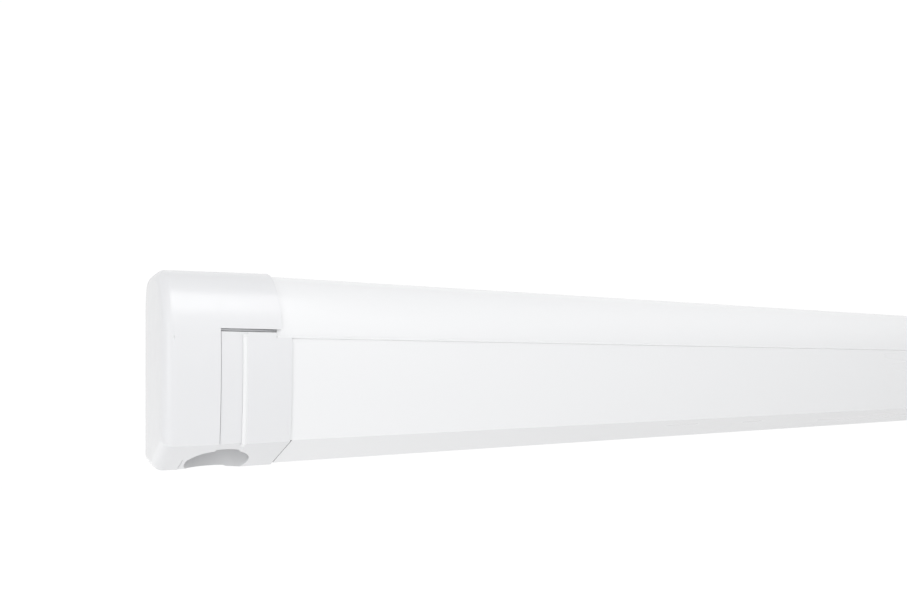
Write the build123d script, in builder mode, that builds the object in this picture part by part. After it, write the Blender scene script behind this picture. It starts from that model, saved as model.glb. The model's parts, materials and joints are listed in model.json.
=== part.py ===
from build123d import *
import math
import os

# A wall-mounted roll-out awning, closed. Millimetres.
# Origin: centre of the wall face. +X runs along the awning, -Y points away from the wall, +Z is up.

# Overall sizes
length = 2600.0
height = 150.0
depth = 108.0
overrun = 5.0
running_gap = 0.05
seat_gap = 0.3

# Closed section, seen along the length
rear_radius = 30.0
roof_front = 70.0
dome_rise = 49.2
lip_gap = 0.4
face_bulge = 1.6
crease_back = 4.0
crease_height = 22.0
bevel_back = 50.0
bevel_angle = math.degrees(math.atan2(crease_height, bevel_back - crease_back))
dome_reach = depth - roof_front
roof_z = height / 2
floor_z = -height / 2
lip_z = roof_z - dome_rise
crease_z = floor_z + crease_height

# Cassette housing
housing_wall = 2.2
shelf_depth = 30.0
port_radius = 5.0
screw_radius = 2.0
plate_thickness = 8.0
cap_overlap = 3.0
wall_bolt_radius = 4.5
wall_bolt_spacing = 500.0
wall_bolt_count = 5
wall_bolt_above_floor = 17.0

# End caps
cap_length = 85.0
cap_wall = 2.5
cap_proud = 2.2
cap_rim_radius = 8.0
cap_end_taper = 8.0
cap_fit = 0.2
cap_block_length = 40.0
seam_gap = 0.5
notch_gap = 2.3
notch_rise = 5.6
flange_depth = 12.0
flange_wall = 2.5

# Lead rail
rail_wall = 2.0
rail_cap_end = 93.5
rail_cap_overlap = 6.0
rail_cap_proud = 1.3
rail_step_from_end = 60.0
strip_depth = 1.0
step_slant = 2.7
roof_plate_z = -54.0
roof_plate_front = 97.0
channel_front = 58.0
channel_width = 24.0
rail_return = 8.0
groove_radius = 3.3
groove_wall = 2.2
groove_slot = 1.8
groove_depth = 14.0
bead_radius = 3.0
rail_port_radius = 4.0
rail_screw_head_radius = 3.2

# Roller and fabric
tilt = 10.0
roller_back = 42.0
roller_height = 32.0
roller_radius = 30.0
roller_wall = 1.5
roll_radius = 34.6
fabric_thickness = 0.8
fabric_margin = 8.0
plug_depth = 30.0
plug_flange = 4.0
journal_radius = 8.0
bush_radius = 12.0
bush_flange_radius = 15.0
bush_flange = 2.0
drive_flat = 5.5

# Crank gearbox and eye
crank_from_end = 47.0
crank_back = 70.0
gearbox_radius = 27.0
gearbox_wall = 3.0
gearbox_width = 38.0
gearbox_clear = 0.4
wheel_width = 16.0
worm_root_radius = 9.0
eye_sleeve = 14.0
eye_sleeve_wall = 2.5
roller_inset = 18.0
worm_shaft_radius = 5.0
wheel_radius = 18.0
worm_radius = 9.6
eye_radius = 12.5
eye_hole_radius = 7.5
eye_thickness = 6.0
eye_centre_z = -47.0
recess_radius = 24.0
recess_wall = 2.0
recess_depth = 27.0
tongue_front = 77.0
tongue_from_end = 20.0

# Folding arms
arm_middle_gap = 180.0
shoulder_from_end = 120.0
shoulder_back = 27.0
rail_pivot_back = 63.0
shoulder_z = -27.8
arm_width = 22.0
arm_height = 24.0
arm_wall = 2.0
arm_corner = 4.0
arm_offset = 12.5
arm_clear = 0.75
knuckle_length = 60.0
knuckle_radius = 12.0
elbow_length = 50.0
pin_radius = 5.0
lug_thickness = 3.5
lug_gap = 0.3
fork_slot_radius = 13.0
fork_lug = 4.0
spigot_length = 25.0
spigot_fit = 0.2
bracket_plate = 5.0
bracket_half_width = 27.0
lug_half_width = 14.0
bolt_radius = 3.0
bolt_head_radius = 5.5
bolt_head = 3.5
rail_web_depth = 11.0
pin_head = 1.5
rail_web_gap = 3.5

# Support legs
leg_from_end = 110.0
leg_width = 20.0
leg_height = 14.0
leg_wall = 1.5
leg_drop = 8.4
leg_head = 10.0
leg_middle_gap = 197.0
leg_inner_start = 50.0
leg_slide_gap = 0.3
collar_length = 20.0
collar_fit = 0.1
leg_inner_past_collar = 15.0
leg_pin_radius = 2.5
foot_length = 50.0
foot_pivot_back = 7.0
foot_ear = 1.5
foot_gap = 3.0
foot_pin_radius = 2.0
lever_length = 34.0
lever_width = 12.0
lever_thickness = 2.6
lever_pin_radius = 0.8
lever_pivot_in = 8.0
lever_ear = 2.0
clip_wall = 1.2
clip_length = 18.0
clip_from_hinge = 780.0
leg_ear = 1.6
leg_ear_reach = 8.0

half = length / 2
outer_end = -half
cap_inner_end = outer_end + cap_length
housing_end = cap_inner_end - cap_overlap
notch_z = lip_z + notch_rise
plate_x = housing_end - plate_thickness
rail_top_z = lip_z - lip_gap
tilt_tan = math.tan(math.radians(tilt))
tilt_sin = math.sin(math.radians(tilt))
tilt_cos = math.cos(math.radians(tilt))
bevel_tan = math.tan(math.radians(bevel_angle))
bevel_half_tan = math.tan(math.radians(bevel_angle / 2))
crease_half_tan = math.tan(math.radians((90 - bevel_angle) / 2))
groove_back = depth - groove_depth
channel_rear = channel_front - channel_width
rail_rear = -channel_rear + rail_wall
split_back = -rail_rear - seam_gap
rail_end = outer_end + rail_cap_end - rail_cap_overlap
block_end = outer_end + cap_block_length
tongue_x = outer_end + tongue_from_end
rail_cap_outer = block_end + seam_gap
rail_cap_inner = outer_end + rail_cap_end
step_x = outer_end + rail_step_from_end
strip_proud = rail_cap_proud - strip_depth
crank_x = outer_end + crank_from_end
gear_outer_x = crank_x - wheel_width / 2
arm_normal = (0, -tilt_sin, tilt_cos)
pivot_x = outer_end + shoulder_from_end
arm_length = -pivot_x - arm_middle_gap
fold_angle = math.asin((rail_pivot_back - shoulder_back) / tilt_cos / (2 * arm_length))

os.makedirs("parts", exist_ok=True)


def keep(name, part):
    """Label a finished piece and write it to its own file."""
    part.label = name
    export_step(part, f"parts/{name}.step")


def keep_pair(name, left_part):
    """Write a piece of the left end and its mirror image for the right end."""
    keep(f"left_{name}", left_part)
    keep(f"right_{name}", mirror(left_part, about=Plane.YZ))


def box_between(x, y, z, mode=Mode.ADD):
    """A box given by its lowest and highest corner on each axis."""
    centre = ((x[0] + x[1]) / 2, (y[0] + y[1]) / 2, (z[0] + z[1]) / 2)
    with Locations(centre):
        Box(x[1] - x[0], y[1] - y[0], z[1] - z[0], mode=mode)


def section(grow=0.0, rear=0.0):
    """The closed section in (y, z), grown outward by grow, its rear moved in from the wall by rear."""
    front = -depth - grow
    top = roof_z + grow
    bottom = floor_z - grow
    bevel_rear = (-depth + bevel_back - grow * bevel_half_tan, bottom)
    crease = (-depth + crease_back - grow, crease_z - grow * crease_half_tan)
    face_top = (front, lip_z)
    middle = ((face_top[0] + crease[0]) / 2 - face_bulge, (face_top[1] + crease[1]) / 2)
    rear_centre = (-rear_radius, roof_z - rear_radius)
    with BuildSketch() as outline:
        with BuildLine():
            Line((-rear, bottom), bevel_rear)
            Line(bevel_rear, crease)
            ThreePointArc(crease, middle, face_top)
            EllipticalCenterArc(
                (-roof_front, lip_z), dome_reach + grow, dome_rise + grow, 90, arc_size=90
            )
            Line((-roof_front, top), (-rear_radius, top))
            EllipticalCenterArc(
                rear_centre, rear_radius - rear, rear_radius + grow, 0, arc_size=90
            )
            Line((-rear, rear_centre[1]), (-rear, bottom))
        make_face()
    return outline.sketch


def section_slab(x, grow_outer, grow_inner, rear=0.0):
    """The closed section lofted from its outer end to its inner end."""
    with BuildPart() as slab:
        with BuildSketch(Plane.YZ.offset(x[0])):
            add(section(grow_outer, rear))
        with BuildSketch(Plane.YZ.offset(x[1])):
            add(section(grow_inner, rear))
        loft(ruled=True)
    return slab.part


def arm_z(y):
    """Height of the arms' plane at a distance y from the wall."""
    return shoulder_z + (y + shoulder_back) * tilt_tan


def travel_z(y):
    """Height of the plane that the rail cap's tongue slides out along."""
    return floor_z + (bevel_back - depth + tongue_front) * bevel_tan + (y + tongue_front) * tilt_tan


# Cassette housing: roof, dome and wall in one profile, with a bottom shelf and three screw ports
port_places = (
    (-rear_radius / 2, roof_z - rear_radius * 0.39),
    (-roof_front - 2 * port_radius, roof_z - port_radius - 1.6 * housing_wall),
    (-port_radius - housing_wall / 2, floor_z + port_radius + housing_wall / 2),
)
with BuildPart() as cassette_housing:
    with BuildSketch(Plane.YZ.offset(housing_end)):
        add(section())
        add(section(-housing_wall, housing_wall), mode=Mode.SUBTRACT)
        with Locations((-depth, floor_z)):
            Rectangle(
                2 * (depth - shelf_depth),
                2 * (lip_z - floor_z),
                mode=Mode.SUBTRACT,
            )
        with Locations(*port_places):
            Circle(port_radius)
            Circle(screw_radius, mode=Mode.SUBTRACT)
    extrude(amount=-2 * housing_end)
    bolt_rows = (floor_z + wall_bolt_above_floor,)
    for z in bolt_rows:
        with Locations(Plane.XZ.offset(-overrun)):
            with Locations((0, z)):
                with GridLocations(wall_bolt_spacing, overrun, wall_bolt_count, 1):
                    Cylinder(
                        wall_bolt_radius,
                        2 * (housing_wall + 2 * overrun),
                        mode=Mode.SUBTRACT,
                    )
keep("cassette_housing", cassette_housing.part)

# Seals: one behind the dome's lip, one on the edge of the bottom shelf
seal_width = 4.0
seal_height = 3.5
with BuildPart() as front_seal:
    lip_inner = -depth + housing_wall
    box_between(
        (housing_end, -housing_end),
        (lip_inner + seam_gap, lip_inner + seam_gap + seal_width),
        (rail_top_z + seam_gap, rail_top_z + seam_gap + seal_height),
    )
keep("front_seal", front_seal.part)

with BuildPart() as rear_seal:
    box_between(
        (housing_end, -housing_end),
        (-shelf_depth - seal_height / 2, -shelf_depth),
        (floor_z, floor_z + housing_wall),
    )
keep("rear_seal", rear_seal.part)

# End plates: cast, behind the cap, closing the housing and carrying the roller
plate_floor = crease_z + lug_gap + bracket_plate / 2
with BuildPart() as end_plate:
    with BuildSketch(Plane.YZ.offset(plate_x)):
        add(section(-seam_gap, seam_gap))
        with Locations((-depth, floor_z)):
            Rectangle(
                2 * (depth - split_back),
                2 * (plate_floor - floor_z),
                mode=Mode.SUBTRACT,
            )
        with Locations((-depth, plate_floor)):
            Rectangle(2 * flange_depth, 2 * (notch_z - plate_floor), mode=Mode.SUBTRACT)
        with Locations((-roller_back, roller_height)):
            Circle(bush_radius, mode=Mode.SUBTRACT)
        with Locations(*port_places):
            Circle(screw_radius + running_gap, mode=Mode.SUBTRACT)
    extrude(amount=plate_thickness)
keep_pair("end_plate", end_plate.part)

screw_head_radius = 3.5
screw_head = 3.0
screw_length = 22.0
with BuildPart() as plate_screws:
    with BuildSketch(Plane.YZ.offset(plate_x - screw_head)):
        with Locations(*port_places):
            Circle(screw_head_radius)
    extrude(amount=screw_head)
    with BuildSketch(Plane.YZ.offset(plate_x)):
        with Locations(*port_places):
            Circle(screw_radius - running_gap)
    extrude(amount=screw_length)
    mirror(about=Plane.YZ)
keep("plate_screws", plate_screws.part)


def travel_side(x, front, rear, shift, far_z):
    """A prism between two distances from the wall, from the tongue's slide plane to a height."""
    with BuildPart() as prism:
        with BuildSketch(Plane.YZ.offset(x[0])):
            with BuildLine():
                Polyline(
                    (-front, travel_z(-front) + shift),
                    (-rear, travel_z(-rear) + shift),
                    (-rear, far_z),
                    (-front, far_z),
                    close=True,
                )
            make_face()
        extrude(amount=x[1] - x[0])
    return prism.part


# Fixed end cap: a moulded shell with a rounded end, notched for the rail cap
def make_end_cap(with_recess):
    """The left-hand fixed cap, with or without the crank recess."""
    with BuildPart() as flanges:
        box_between(
            (block_end - flange_wall, block_end),
            (-2 * depth, -depth + flange_depth),
            (2 * floor_z, notch_z + flange_wall),
        )
        box_between(
            (block_end - flange_wall, plate_x - seat_gap),
            (-2 * depth, -depth + flange_depth),
            (notch_z, notch_z + flange_wall),
        )
        add(
            travel_side(
                (tongue_x - flange_wall, block_end),
                depth - flange_depth,
                split_back,
                flange_wall,
                2 * floor_z,
            )
        )
    with BuildPart() as end_crown:
        with BuildSketch(Plane.XY.offset(-height)):
            with BuildLine():
                end_curve = TangentArc(
                    (outer_end, -depth - overrun),
                    (outer_end + cap_end_taper, overrun),
                    tangent=(0, 1),
                )
                Polyline(
                    end_curve @ 1,
                    (outer_end - 2 * overrun, overrun),
                    (outer_end - 2 * overrun, -depth - overrun),
                    end_curve @ 0,
                )
            make_face()
        extrude(amount=2 * height)
    with BuildPart() as body:
        add(section_slab((outer_end - overrun, cap_inner_end), 0.0, cap_proud))
        add(end_crown.part, mode=Mode.SUBTRACT)
        rim = body.faces().sort_by(Axis.X)[0].edges()
        fillet(rim.filter_by(lambda e: e.center().Y < -seam_gap), cap_rim_radius)
    with BuildPart() as end_cap:
        add(body.part)
        add(
            section_slab(
                (outer_end + cap_end_taper + cap_wall, plate_x),
                -cap_wall,
                -cap_wall / 2,
                cap_wall,
            ),
            mode=Mode.SUBTRACT,
        )
        add(
            section_slab(
                (plate_x - seat_gap, cap_inner_end + overrun), cap_fit, cap_fit, -overrun
            ),
            mode=Mode.SUBTRACT,
        )
        add(flanges.part & body.part)
        box_between(
            (block_end, cap_inner_end + overrun),
            (-2 * depth, -split_back),
            (2 * floor_z, notch_z),
            Mode.SUBTRACT,
        )
        add(
            travel_side(
                (tongue_x, cap_inner_end + overrun),
                tongue_front + seam_gap,
                split_back,
                seam_gap,
                2 * floor_z,
            ),
            mode=Mode.SUBTRACT,
        )
        if with_recess:
            with Locations((crank_x, -crank_back, floor_z)):
                Cylinder(recess_radius, 2 * recess_depth, mode=Mode.SUBTRACT)
    return end_cap.part


keep("left_end_cap", make_end_cap(True))
keep("right_end_cap", mirror(make_end_cap(False), about=Plane.YZ))

# Lead rail: curved face, bevel, leg channel, groove for the fabric's bead and two screw ports
leader_radius = roll_radius + seat_gap + fabric_thickness / 2
leader_start_y = -roller_back + leader_radius * tilt_sin
leader_start_z = roller_height - leader_radius * tilt_cos
groove_z = leader_start_z - (groove_back + leader_start_y) * tilt_tan
rail_port_places = (
    (-depth + rail_wall + rail_port_radius - seam_gap, rail_top_z - rail_return - rail_wall),
    (-roof_front, roof_plate_z - rail_wall - rail_port_radius + seam_gap),
)


def front_only(grow):
    """The part of the section that the lead rail closes."""
    with BuildSketch() as front:
        add(section(grow))
        with Locations((0, rail_top_z + height)):
            Rectangle(2 * height, 2 * height, mode=Mode.SUBTRACT)
        with Locations((-channel_rear + rail_wall + depth, 0)):
            Rectangle(2 * depth, 2 * height, mode=Mode.SUBTRACT)
    return front.sketch


with BuildPart() as lead_rail:
    with BuildSketch(Plane.YZ.offset(rail_end)):
        add(front_only(0.0))
        add(section(-rail_wall), mode=Mode.SUBTRACT)
        with Locations((-depth + rail_return / 2 + seam_gap, rail_top_z - rail_wall / 2)):
            Rectangle(rail_return, rail_wall)
        with Locations(
            (-(roof_plate_front - rail_rear) / 2, roof_plate_z - rail_wall / 2)
        ):
            Rectangle(roof_plate_front + rail_rear, rail_wall)
        with Locations(
            (-channel_front - rail_wall / 2, (roof_plate_z + floor_z) / 2),
            (-channel_rear + rail_wall / 2, (roof_plate_z + floor_z) / 2),
        ):
            Rectangle(rail_wall, roof_plate_z - floor_z)
        with Locations((-depth + (depth - groove_back) / 2 + rail_wall / 4, groove_z)):
            Rectangle(depth - groove_back - rail_wall, rail_wall + seam_gap)
        with Locations((-groove_back, groove_z)):
            Circle(groove_radius + groove_wall)
            Circle(groove_radius, mode=Mode.SUBTRACT)
        with Locations(Location((-groove_back, groove_z), tilt)):
            Rectangle(
                2 * (groove_radius + groove_wall),
                groove_slot,
                align=(Align.MIN, Align.CENTER),
                mode=Mode.SUBTRACT,
            )
        with Locations(*rail_port_places):
            Circle(rail_port_radius)
            Circle(screw_radius, mode=Mode.SUBTRACT)
        with Locations((-channel_front + channel_width / 2, floor_z)):
            Rectangle(
                channel_width, 2 * (roof_plate_z - rail_wall - floor_z), mode=Mode.SUBTRACT
            )
        add(section(), mode=Mode.INTERSECT)
    extrude(amount=-2 * rail_end)
keep("lead_rail", lead_rail.part)


def rail_cap_skin():
    """The outside of the left rail cap: recessed strip, ramp and main face, below the fixed cap's notch."""
    with BuildPart() as skin:
        add(section_slab((rail_cap_outer, step_x - step_slant), strip_proud, strip_proud))
        add(section_slab((step_x - step_slant, step_x), strip_proud, rail_cap_proud))
        add(section_slab((step_x, rail_cap_inner), rail_cap_proud, rail_cap_proud))
        add(section_slab((tongue_x + seam_gap, rail_cap_outer), strip_proud, strip_proud))
        box_between(
            (tongue_x, rail_cap_inner + overrun),
            (-2 * depth, overrun),
            (notch_z - notch_gap, 2 * roof_z),
            Mode.SUBTRACT,
        )
        box_between(
            (housing_end - seam_gap, rail_cap_inner + overrun),
            (-2 * depth, overrun),
            (rail_top_z, 2 * roof_z),
            Mode.SUBTRACT,
        )
        box_between(
            (tongue_x, rail_cap_inner + overrun),
            (rail_rear, overrun),
            (2 * floor_z, 2 * roof_z),
            Mode.SUBTRACT,
        )
        box_between(
            (tongue_x, rail_cap_outer),
            (-2 * depth, -tongue_front),
            (2 * floor_z, 2 * roof_z),
            Mode.SUBTRACT,
        )
        add(
            travel_side((tongue_x, rail_cap_outer), tongue_front, -overrun, 0.0, 2 * roof_z),
            mode=Mode.SUBTRACT,
        )
    return skin.part


def make_rail_cap(with_recess):
    """The left-hand cap of the lead rail, with its step, its slide-out tongue and its recess."""
    skin = rail_cap_skin()
    partition = (rail_end - seat_gap - flange_wall, rail_end - seat_gap)
    behind_face = depth - flange_depth
    with BuildPart() as cavity:
        add(section_slab((rail_cap_outer + flange_wall, partition[0]), -rail_wall, -rail_wall))
        box_between(
            (rail_cap_outer, partition[1]),
            (-2 * depth, overrun),
            (notch_z - notch_gap - flange_wall, 2 * roof_z),
            Mode.SUBTRACT,
        )
    with BuildPart() as rear_wall:
        box_between(
            (rail_cap_outer, partition[0]),
            (rail_rear - rail_wall, rail_rear),
            (2 * floor_z, travel_z(rail_rear - rail_wall) - seam_gap),
        )
    with BuildPart() as wedge:
        add(
            travel_side(
                (tongue_x, crank_x + recess_radius + flange_wall),
                tongue_front,
                -rail_rear,
                0.0,
                2 * floor_z,
            )
        )
    with BuildPart() as collar:
        with Locations((crank_x, -crank_back, floor_z)):
            Cylinder(recess_radius + recess_wall, 2 * recess_depth)
        box_between(
            (tongue_x - overrun, crank_x + 2 * recess_radius),
            (-crank_back - recess_wall, overrun),
            (2 * floor_z, roof_z),
            Mode.SUBTRACT,
        )
        box_between(
            (tongue_x - overrun, rail_cap_outer),
            (-2 * depth, overrun),
            (2 * floor_z, roof_z),
            Mode.SUBTRACT,
        )
    with BuildPart() as bevel_cover:
        box_between(
            (rail_cap_outer, partition[0]),
            (-behind_face - rail_wall, -tongue_front + rail_wall),
            (2 * floor_z, crease_z),
        )
        add(
            section_slab(
                (rail_cap_outer - overrun, partition[0] + overrun), -rail_wall, -rail_wall
            ),
            mode=Mode.SUBTRACT,
        )
    with BuildPart() as rail_cap:
        add(skin)
        add(cavity.part, mode=Mode.SUBTRACT)
        add(
            section_slab((partition[1], rail_cap_inner + overrun), cap_fit / 2, cap_fit / 2),
            mode=Mode.SUBTRACT,
        )
        box_between(
            (rail_cap_outer - overrun, partition[0]),
            (-behind_face, overrun),
            (travel_z(-behind_face) + flange_wall, 2 * roof_z),
            Mode.SUBTRACT,
        )
        add(
            travel_side(
                (rail_cap_outer - overrun, partition[0]), behind_face, -overrun, 0.0, 2 * roof_z
            ),
            mode=Mode.SUBTRACT,
        )
        box_between(
            (partition[0], rail_cap_inner + overrun),
            (-behind_face, overrun),
            (roof_plate_z, 2 * roof_z),
            Mode.SUBTRACT,
        )
        add(rear_wall.part & skin)
        add(wedge.part & skin)
        add(bevel_cover.part & skin)
        if with_recess:
            add(collar.part & skin)
            with Locations((crank_x, -crank_back, floor_z)):
                Cylinder(recess_radius, 2 * height, mode=Mode.SUBTRACT)
        with BuildSketch(Plane.YZ.offset(partition[0] - overrun)):
            with Locations(*rail_port_places):
                Circle(screw_radius + running_gap)
        extrude(amount=2 * overrun, mode=Mode.SUBTRACT)
    return rail_cap.part


keep("left_rail_cap", make_rail_cap(True))
keep("right_rail_cap", mirror(make_rail_cap(False), about=Plane.YZ))

with BuildPart() as rail_cap_screws:
    head_x = rail_end - seat_gap - flange_wall - screw_head
    with BuildSketch(Plane.YZ.offset(head_x)):
        with Locations(*rail_port_places):
            Circle(rail_screw_head_radius)
    extrude(amount=screw_head)
    with BuildSketch(Plane.YZ.offset(head_x + screw_head)):
        with Locations(*rail_port_places):
            Circle(screw_radius - running_gap)
    extrude(amount=screw_length)
    mirror(about=Plane.YZ)
keep("rail_cap_screws", rail_cap_screws.part)


# Roller: tube, end plugs with journals, wound fabric, and bushes in the end plates
tube_end = housing_end + roller_inset
roller_centre = (-roller_back, roller_height)
roller_plane_x = tube_end - plug_flange
with BuildPart() as roller_tube:
    with BuildSketch(Plane.YZ.offset(tube_end)):
        with Locations(roller_centre):
            Circle(roller_radius)
            Circle(roller_radius - roller_wall, mode=Mode.SUBTRACT)
    extrude(amount=-2 * tube_end)
keep("roller_tube", roller_tube.part)

with BuildPart() as canopy_roll:
    with BuildSketch(Plane.YZ.offset(tube_end + fabric_margin)):
        with Locations(roller_centre):
            Circle(roll_radius)
            Circle(roller_radius + running_gap, mode=Mode.SUBTRACT)
    extrude(amount=-2 * (tube_end + fabric_margin))
keep("canopy_roll", canopy_roll.part)


def make_roller_plug(journal_end, with_drive):
    """An end plug: pressed into the tube, a flange against it and a journal out to the bush."""
    with BuildPart() as plug:
        with BuildSketch(Plane.YZ.offset(tube_end)):
            with Locations(roller_centre):
                Circle(roller_radius - roller_wall)
                Circle(journal_radius, mode=Mode.SUBTRACT)
        extrude(amount=plug_depth)
        with BuildSketch(Plane.YZ.offset(roller_plane_x)):
            with Locations(roller_centre):
                Circle(roller_radius)
        extrude(amount=plug_flange)
        with BuildSketch(Plane.YZ.offset(journal_end)):
            with Locations(roller_centre):
                Circle(journal_radius)
        extrude(amount=roller_plane_x - journal_end)
        if with_drive:
            with BuildSketch(Plane.YZ.offset(gear_outer_x)):
                with Locations(roller_centre):
                    Rectangle(2 * drive_flat, 2 * drive_flat)
            extrude(amount=journal_end - gear_outer_x)
    return plug.part


keep("left_roller_plug", make_roller_plug(plate_x - bush_flange, True))
keep(
    "right_roller_plug",
    mirror(make_roller_plug(plate_x - bush_flange, False), about=Plane.YZ),
)

with BuildPart() as roller_bushes:
    with BuildSketch(Plane.YZ.offset(plate_x)):
        with Locations(roller_centre):
            Circle(bush_radius)
            Circle(journal_radius + running_gap, mode=Mode.SUBTRACT)
    extrude(amount=plate_thickness)
    with BuildSketch(Plane.YZ.offset(housing_end)):
        with Locations(roller_centre):
            Circle(bush_flange_radius)
            Circle(journal_radius + running_gap, mode=Mode.SUBTRACT)
    extrude(amount=bush_flange)
    mirror(about=Plane.YZ)
keep("roller_bushes", roller_bushes.part)

# Fabric leader from the roll to the groove, and the bead that holds it there
leader_reach = (groove_back + leader_start_y) / tilt_cos - bead_radius - seat_gap
leader_plane = Plane(
    origin=(0, leader_start_y, leader_start_z), x_dir=(1, 0, 0), z_dir=(0, -tilt_sin, tilt_cos)
)
fabric_half_width = -(tube_end + fabric_margin)
with BuildPart() as canopy_leader:
    with BuildSketch(leader_plane.offset(-fabric_thickness / 2)):
        Rectangle(2 * fabric_half_width, leader_reach, align=(Align.CENTER, Align.MAX))
    extrude(amount=fabric_thickness)
keep("canopy_leader", canopy_leader.part)

with BuildPart() as canopy_bead:
    with BuildSketch(Plane.YZ.offset(-fabric_half_width)):
        with Locations((-groove_back, groove_z)):
            Circle(bead_radius)
    extrude(amount=2 * fabric_half_width)
keep("canopy_bead", canopy_bead.part)

# Crank gearbox: a casting on the left end plate, round the wheel and the worm's column
column_radius = worm_radius + gearbox_wall
with BuildPart() as gearbox_housing:
    with BuildSketch(Plane.YZ.offset(plate_x - gearbox_width)):
        with Locations(roller_centre):
            Circle(gearbox_radius)
        with Locations((-crank_back, roller_height)):
            RectangleRounded(2 * column_radius, 2 * gearbox_radius, gearbox_wall)
        make_hull()
    extrude(amount=gearbox_width)
    fillet(gearbox_housing.faces().sort_by(Axis.X)[0].edges(), gearbox_wall / 2)
    with BuildSketch(Plane.YZ.offset(plate_x - bush_flange - gearbox_clear)):
        with Locations(roller_centre):
            Circle(bush_flange_radius)
    extrude(amount=bush_flange + gearbox_clear, mode=Mode.SUBTRACT)
    with BuildSketch(Plane.YZ.offset(plate_x - bush_flange - gearbox_clear)):
        with Locations(roller_centre):
            Circle(wheel_radius + gearbox_clear)
    extrude(amount=gear_outer_x - plate_x + bush_flange, mode=Mode.SUBTRACT)
    with Locations((crank_x, -crank_back, roller_height)):
        Cylinder(worm_radius + gearbox_clear, 2 * (gearbox_radius - gearbox_wall), mode=Mode.SUBTRACT)
    with Locations((crank_x, -crank_back, roller_height - gearbox_radius)):
        Cylinder(worm_shaft_radius + running_gap, 4 * gearbox_wall, mode=Mode.SUBTRACT)
keep("gearbox_housing", gearbox_housing.part)

with BuildPart() as worm_wheel:
    with BuildSketch(Plane.YZ.offset(gear_outer_x)):
        with Locations(roller_centre):
            Circle(wheel_radius)
            Rectangle(2 * drive_flat + 2 * running_gap, 2 * drive_flat + 2 * running_gap, mode=Mode.SUBTRACT)
    extrude(amount=wheel_width)
keep("worm_wheel", worm_wheel.part)

with BuildPart() as worm_shaft:
    with Locations((crank_x, -crank_back, roller_height)):
        Cylinder(worm_root_radius, 2 * (gearbox_radius - gearbox_wall - seat_gap))
    shaft_top = roller_height - gearbox_radius + gearbox_wall + seat_gap
    shaft_low = eye_centre_z + eye_hole_radius + (eye_radius - eye_hole_radius) / 2
    box_z = (shaft_top + shaft_low) / 2
    with Locations((crank_x, -crank_back, box_z)):
        Cylinder(worm_shaft_radius, shaft_top - shaft_low)
keep("worm_shaft", worm_shaft.part)

with BuildPart() as crank_eye:
    with BuildSketch(Plane.YZ.offset(crank_x - eye_thickness / 2)):
        with Locations((-crank_back, eye_centre_z)):
            Circle(eye_radius)
    extrude(amount=eye_thickness)
    with Locations((crank_x, -crank_back, shaft_low + eye_sleeve / 2)):
        Cylinder(worm_shaft_radius + eye_sleeve_wall, eye_sleeve)
    with BuildSketch(Plane.YZ.offset(crank_x - 2 * eye_thickness)):
        with Locations((-crank_back, eye_centre_z)):
            Circle(eye_hole_radius)
    extrude(amount=4 * eye_thickness, mode=Mode.SUBTRACT)
    with Locations((crank_x, -crank_back, shaft_low + eye_sleeve)):
        Cylinder(worm_shaft_radius, 2 * eye_sleeve, mode=Mode.SUBTRACT)
keep("crank_eye", crank_eye.part)

# Folding arms: the inner arm turns on the shoulder, the outer arm on the elbow, both in one tilted plane
shoulder_point = (pivot_x, -shoulder_back, arm_z(-shoulder_back))
rail_point = (pivot_x, -rail_pivot_back, arm_z(-rail_pivot_back))
elbow_y = -(shoulder_back + rail_pivot_back) / 2
elbow_point = (pivot_x + arm_length * math.cos(fold_angle), elbow_y, arm_z(elbow_y))
inner_plane = Plane(
    origin=shoulder_point,
    x_dir=Vector(*elbow_point) - Vector(*shoulder_point),
    z_dir=arm_normal,
)
outer_plane = Plane(
    origin=rail_point,
    x_dir=Vector(*elbow_point) - Vector(*rail_point),
    z_dir=arm_normal,
)
shoulder_plane = Plane(origin=shoulder_point, x_dir=(1, 0, 0), z_dir=arm_normal)
rail_plane = Plane(origin=rail_point, x_dir=(1, 0, 0), z_dir=arm_normal)
tube_start = knuckle_length
tube_stop = arm_length - elbow_length
elbow_half = arm_height / 2 - fork_lug
lug_inside = arm_height / 2 + lug_gap


def arm_tube(plane, side):
    """The hollow tube of one arm half, on one side of its pivot line."""
    with BuildPart() as tube:
        with BuildSketch(Plane(plane.from_local_coords((tube_start, 0, 0)), x_dir=plane.y_dir, z_dir=plane.x_dir)):
            with Locations((side * arm_offset, 0)):
                RectangleRounded(arm_width, arm_height, arm_corner)
                RectangleRounded(
                    arm_width - 2 * arm_wall,
                    arm_height - 2 * arm_wall,
                    arm_corner - arm_wall,
                    mode=Mode.SUBTRACT,
                )
        extrude(amount=tube_stop - tube_start)
    return tube.part


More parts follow.
